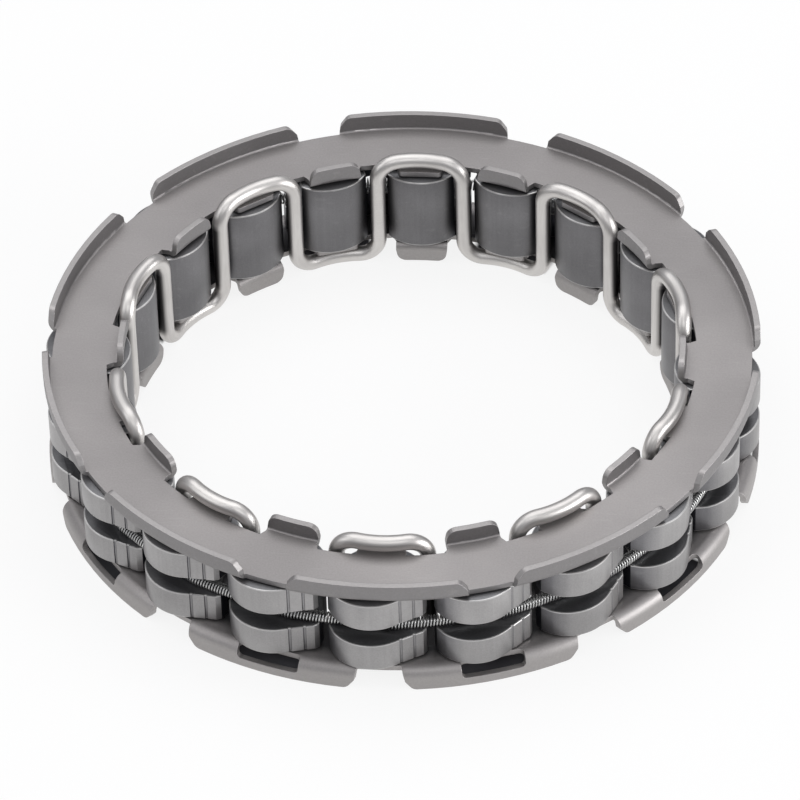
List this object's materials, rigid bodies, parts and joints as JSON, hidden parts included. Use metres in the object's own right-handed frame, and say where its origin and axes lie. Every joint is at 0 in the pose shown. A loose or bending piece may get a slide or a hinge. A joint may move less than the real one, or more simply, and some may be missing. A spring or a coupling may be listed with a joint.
{
  "type": "sprag clutch",
  "caption": "Ring-shaped one-way clutch insert: wedge-shaped sprags rock between two pressed plates, spaced by a serpentine wire and energised by a garter spring.",
  "frame": {"origin": "on the clutch's axis, halfway between the two plates", "axes": "+Z along the clutch's axis, towards the plate without slots in its lips; +Y through the first sprag; the sprags are numbered clockwise seen from +Z"},
  "size_m": [0.0714, 0.0714, 0.0136],
  "materials": {
    "pressed_steel": "matte, pressed and deburred sheet",
    "wire_steel": "satin drawn wire",
    "spring_steel": "bright drawn spring wire",
    "sprag_steel": "dark, hardened and tumbled"
  },
  "bodies": {
    "cage": {"upper_plate": "pressed_steel", "lower_plate": "pressed_steel", "retaining_wire": "wire_steel", "garter_spring": "spring_steel"},
    "sprag_01": {"sprag_01": "sprag_steel"},
    "sprag_02": {"sprag_02": "sprag_steel"},
    "sprag_03": {"sprag_03": "sprag_steel"},
    "sprag_04": {"sprag_04": "sprag_steel"},
    "sprag_05": {"sprag_05": "sprag_steel"},
    "sprag_06": {"sprag_06": "sprag_steel"},
    "sprag_07": {"sprag_07": "sprag_steel"},
    "sprag_08": {"sprag_08": "sprag_steel"},
    "sprag_09": {"sprag_09": "sprag_steel"},
    "sprag_10": {"sprag_10": "sprag_steel"},
    "sprag_11": {"sprag_11": "sprag_steel"},
    "sprag_12": {"sprag_12": "sprag_steel"},
    "sprag_13": {"sprag_13": "sprag_steel"},
    "sprag_14": {"sprag_14": "sprag_steel"},
    "sprag_15": {"sprag_15": "sprag_steel"},
    "sprag_16": {"sprag_16": "sprag_steel"},
    "sprag_17": {"sprag_17": "sprag_steel"},
    "sprag_18": {"sprag_18": "sprag_steel"},
    "sprag_19": {"sprag_19": "sprag_steel"},
    "sprag_20": {"sprag_20": "sprag_steel"}
  },
  "joints": [
    {"name": "rock_01", "type": "hinge", "parent": "cage", "child": "sprag_01", "pos_m": [0, 0.0299, 0], "axis": [0, 0, 1], "range_deg": [-6, 2], "stiffness_Nm_per_rad": 0.02},
    {"name": "rock_02", "type": "hinge", "parent": "cage", "child": "sprag_02", "pos_m": [0.00924, 0.02844, 0], "axis": [0, 0, 1], "range_deg": [-6, 2], "stiffness_Nm_per_rad": 0.02},
    {"name": "rock_03", "type": "hinge", "parent": "cage", "child": "sprag_03", "pos_m": [0.01757, 0.02419, 0], "axis": [0, 0, 1], "range_deg": [-6, 2], "stiffness_Nm_per_rad": 0.02},
    {"name": "rock_04", "type": "hinge", "parent": "cage", "child": "sprag_04", "pos_m": [0.02419, 0.01757, 0], "axis": [0, 0, 1], "range_deg": [-6, 2], "stiffness_Nm_per_rad": 0.02},
    {"name": "rock_05", "type": "hinge", "parent": "cage", "child": "sprag_05", "pos_m": [0.02844, 0.00924, 0], "axis": [0, 0, 1], "range_deg": [-6, 2], "stiffness_Nm_per_rad": 0.02},
    {"name": "rock_06", "type": "hinge", "parent": "cage", "child": "sprag_06", "pos_m": [0.0299, 0, 0], "axis": [0, 0, 1], "range_deg": [-6, 2], "stiffness_Nm_per_rad": 0.02},
    {"name": "rock_07", "type": "hinge", "parent": "cage", "child": "sprag_07", "pos_m": [0.02844, -0.00924, 0], "axis": [0, 0, 1], "range_deg": [-6, 2], "stiffness_Nm_per_rad": 0.02},
    {"name": "rock_08", "type": "hinge", "parent": "cage", "child": "sprag_08", "pos_m": [0.02419, -0.01757, 0], "axis": [0, 0, 1], "range_deg": [-6, 2], "stiffness_Nm_per_rad": 0.02},
    {"name": "rock_09", "type": "hinge", "parent": "cage", "child": "sprag_09", "pos_m": [0.01757, -0.02419, 0], "axis": [0, 0, 1], "range_deg": [-6, 2], "stiffness_Nm_per_rad": 0.02},
    {"name": "rock_10", "type": "hinge", "parent": "cage", "child": "sprag_10", "pos_m": [0.00924, -0.02844, 0], "axis": [0, 0, 1], "range_deg": [-6, 2], "stiffness_Nm_per_rad": 0.02},
    {"name": "rock_11", "type": "hinge", "parent": "cage", "child": "sprag_11", "pos_m": [0, -0.0299, 0], "axis": [0, 0, 1], "range_deg": [-6, 2], "stiffness_Nm_per_rad": 0.02},
    {"name": "rock_12", "type": "hinge", "parent": "cage", "child": "sprag_12", "pos_m": [-0.00924, -0.02844, 0], "axis": [0, 0, 1], "range_deg": [-6, 2], "stiffness_Nm_per_rad": 0.02},
    {"name": "rock_13", "type": "hinge", "parent": "cage", "child": "sprag_13", "pos_m": [-0.01757, -0.02419, 0], "axis": [0, 0, 1], "range_deg": [-6, 2], "stiffness_Nm_per_rad": 0.02},
    {"name": "rock_14", "type": "hinge", "parent": "cage", "child": "sprag_14", "pos_m": [-0.02419, -0.01757, 0], "axis": [0, 0, 1], "range_deg": [-6, 2], "stiffness_Nm_per_rad": 0.02},
    {"name": "rock_15", "type": "hinge", "parent": "cage", "child": "sprag_15", "pos_m": [-0.02844, -0.00924, 0], "axis": [0, 0, 1], "range_deg": [-6, 2], "stiffness_Nm_per_rad": 0.02},
    {"name": "rock_16", "type": "hinge", "parent": "cage", "child": "sprag_16", "pos_m": [-0.0299, 0, 0], "axis": [0, 0, 1], "range_deg": [-6, 2], "stiffness_Nm_per_rad": 0.02},
    {"name": "rock_17", "type": "hinge", "parent": "cage", "child": "sprag_17", "pos_m": [-0.02844, 0.00924, 0], "axis": [0, 0, 1], "range_deg": [-6, 2], "stiffness_Nm_per_rad": 0.02},
    {"name": "rock_18", "type": "hinge", "parent": "cage", "child": "sprag_18", "pos_m": [-0.02419, 0.01757, 0], "axis": [0, 0, 1], "range_deg": [-6, 2], "stiffness_Nm_per_rad": 0.02},
    {"name": "rock_19", "type": "hinge", "parent": "cage", "child": "sprag_19", "pos_m": [-0.01757, 0.02419, 0], "axis": [0, 0, 1], "range_deg": [-6, 2], "stiffness_Nm_per_rad": 0.02},
    {"name": "rock_20", "type": "hinge", "parent": "cage", "child": "sprag_20", "pos_m": [-0.00924, 0.02844, 0], "axis": [0, 0, 1], "range_deg": [-6, 2], "stiffness_Nm_per_rad": 0.02}
  ],
  "couplings": [
    {"joint": "rock_02", "follows": "rock_01", "ratio": 1},
    {"joint": "rock_03", "follows": "rock_01", "ratio": 1},
    {"joint": "rock_04", "follows": "rock_01", "ratio": 1},
    {"joint": "rock_05", "follows": "rock_01", "ratio": 1},
    {"joint": "rock_06", "follows": "rock_01", "ratio": 1},
    {"joint": "rock_07", "follows": "rock_01", "ratio": 1},
    {"joint": "rock_08", "follows": "rock_01", "ratio": 1},
    {"joint": "rock_09", "follows": "rock_01", "ratio": 1},
    {"joint": "rock_10", "follows": "rock_01", "ratio": 1},
    {"joint": "rock_11", "follows": "rock_01", "ratio": 1},
    {"joint": "rock_12", "follows": "rock_01", "ratio": 1},
    {"joint": "rock_13", "follows": "rock_01", "ratio": 1},
    {"joint": "rock_14", "follows": "rock_01", "ratio": 1},
    {"joint": "rock_15", "follows": "rock_01", "ratio": 1},
    {"joint": "rock_16", "follows": "rock_01", "ratio": 1},
    {"joint": "rock_17", "follows": "rock_01", "ratio": 1},
    {"joint": "rock_18", "follows": "rock_01", "ratio": 1},
    {"joint": "rock_19", "follows": "rock_01", "ratio": 1},
    {"joint": "rock_20", "follows": "rock_01", "ratio": 1}
  ]
}
